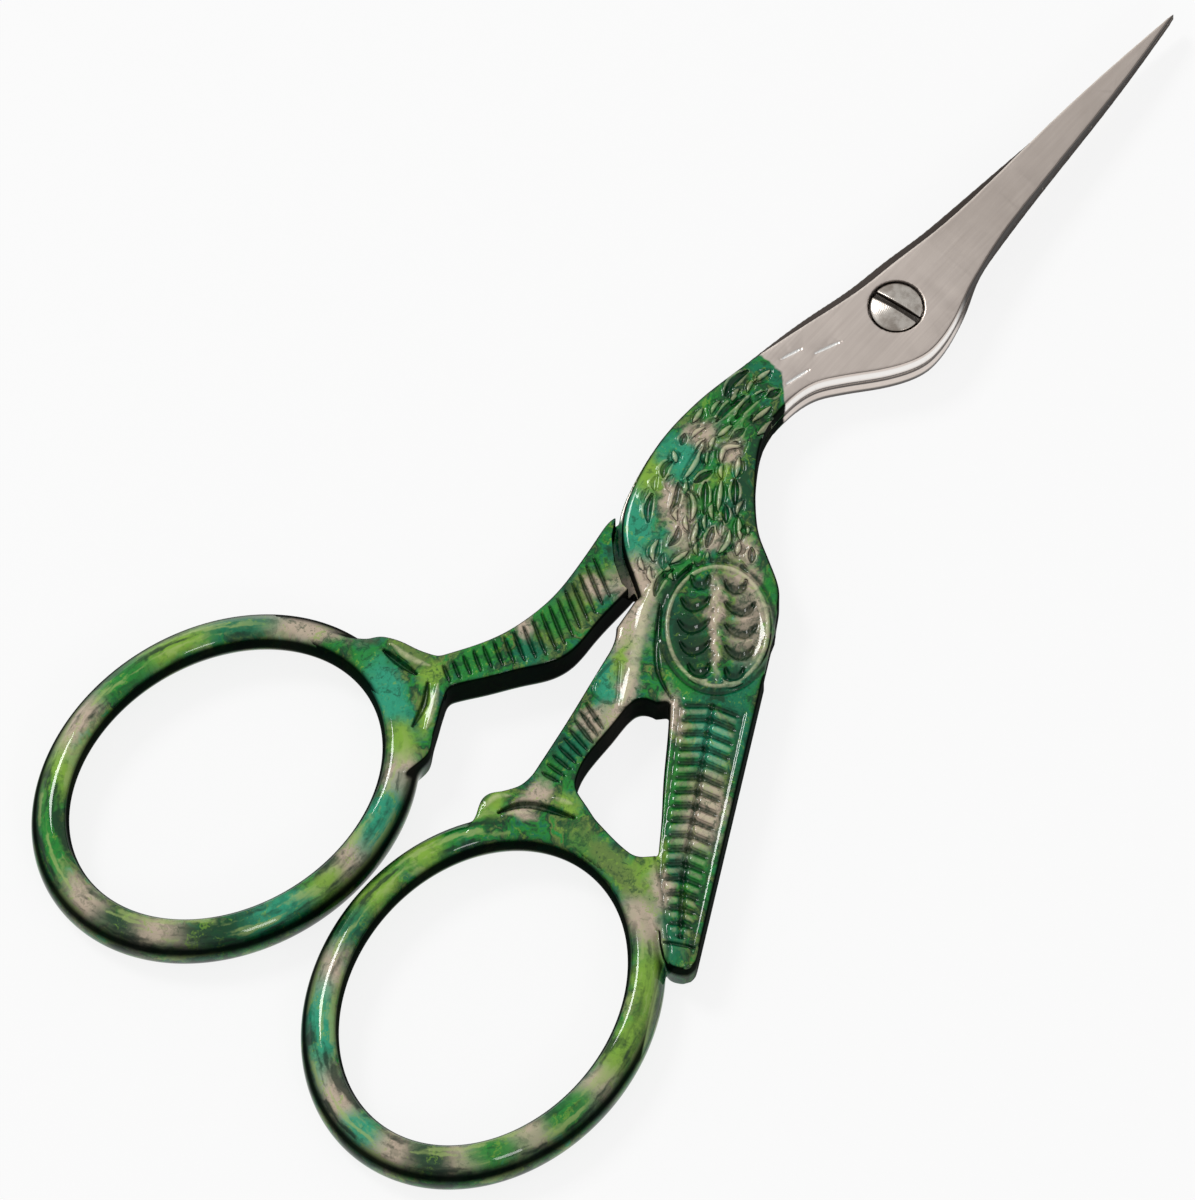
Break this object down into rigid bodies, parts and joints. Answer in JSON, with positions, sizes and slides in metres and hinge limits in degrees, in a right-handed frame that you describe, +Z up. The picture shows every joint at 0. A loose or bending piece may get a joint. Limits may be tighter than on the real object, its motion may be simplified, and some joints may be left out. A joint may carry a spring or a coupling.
{
  "type": "embroidery_scissors",
  "caption": "Stork embroidery scissors: slender beak blades on a slotted pivot screw, enamelled bird's body, tail and legs, and two oval finger bows that open by hand.",
  "frame": {"origin": "On the pivot's axis, in the plane of the table that the closed scissors lie on", "axes": "+X from the pivot to the blades' tips, +Y towards the back half's finger bow, +Z up from the table through the scissors' thickness"},
  "size_m": [0.0899, 0.0416, 0.0031],
  "materials": {
    "enamelled_steel": "glossy marbled green enamel on the handles, satin bare steel on the blades",
    "screw_steel": "polished screw head"
  },
  "bodies": {
    "front": {"front_half": "enamelled_steel"},
    "back": {"back_half": "enamelled_steel", "pivot_screw": "screw_steel"}
  },
  "joints": [
    {"name": "pivot", "type": "hinge", "parent": "front", "child": "back", "pos_m": [0, 0, 0], "axis": [0, 0, -1], "range_deg": [0, 60]}
  ]
}
